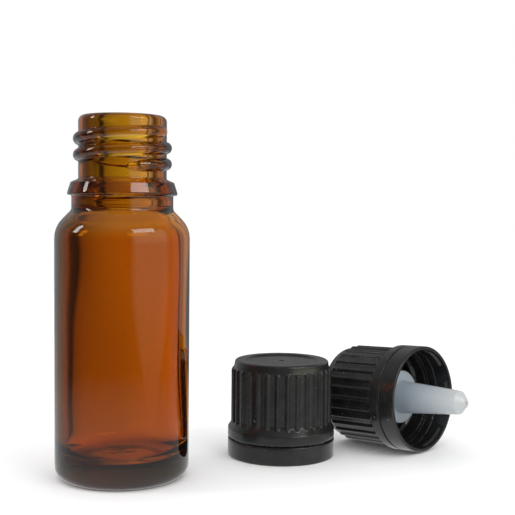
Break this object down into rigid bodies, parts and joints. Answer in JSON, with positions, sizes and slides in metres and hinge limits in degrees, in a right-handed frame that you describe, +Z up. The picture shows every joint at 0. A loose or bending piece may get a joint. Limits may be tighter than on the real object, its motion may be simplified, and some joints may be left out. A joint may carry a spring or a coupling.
{
  "type": "dropper bottle with screw closures",
  "caption": "Small round amber glass bottle with a screw neck, with black ribbed tamper-evident screw caps and a soft translucent dropper insert.",
  "frame": {"origin": "centre of the ring the glass bottle stands on, at floor level", "axes": "+Z up along the bottle's axis; -Y towards the viewer; +X to the right, where the two closures are"},
  "size_m": [0.0804, 0.0521, 0.0673],
  "materials": {
    "amber_glass": "polished",
    "black_plastic": "satin",
    "milky_plastic": "translucent satin"
  },
  "bodies": {
    "bottle": {"glass_bottle": "amber_glass"},
    "standing_band": {"standing_cap_tamper_band": "black_plastic"},
    "standing_bridges": {"standing_cap_bridges": "black_plastic"},
    "standing_shell": {"standing_cap_shell": "black_plastic"},
    "lying_band": {"lying_cap_tamper_band": "black_plastic"},
    "lying_bridges": {"lying_cap_bridges": "black_plastic"},
    "lying_shell": {"lying_cap_shell": "black_plastic"},
    "insert": {"dropper_insert": "milky_plastic"}
  },
  "joints": [
    {"name": "standing_cap_lift", "type": "slide", "parent": "bottle", "child": "standing_band", "axis": [0, 0, 1], "range_m": [0, 0.07]},
    {"name": "standing_cap_turn", "type": "hinge", "parent": "standing_band", "child": "standing_bridges", "pos_m": [0.0303, 0.0177, 0], "axis": [0, 0, 1], "range_deg": [0, 540]},
    {"name": "standing_cap_rise", "type": "slide", "parent": "standing_bridges", "child": "standing_shell", "axis": [0, 0, 1], "range_m": [0, 0.0045]},
    {"name": "lying_cap_lift", "type": "slide", "parent": "bottle", "child": "lying_band", "axis": [0, 0, 1], "range_m": [0, 0.07]},
    {"name": "lying_cap_turn", "type": "hinge", "parent": "lying_band", "child": "lying_bridges", "pos_m": [0.0599, 0.0194, 0.01118], "axis": [-0.7219, 0.6899, -0.0537], "range_deg": [0, 540]},
    {"name": "lying_cap_rise", "type": "slide", "parent": "lying_bridges", "child": "lying_shell", "axis": [-0.7219, 0.6899, -0.0537], "range_m": [0, 0.0045]},
    {"name": "insert_pull", "type": "slide", "parent": "lying_shell", "child": "insert", "axis": [0.7219, -0.6899, 0.0537], "range_m": [0, 0.028]}
  ],
  "couplings": [
    {"joint": "standing_cap_rise", "follows": "standing_cap_turn", "m_per_rad": 0.00047746},
    {"joint": "lying_cap_rise", "follows": "lying_cap_turn", "m_per_rad": 0.00047746}
  ]
}
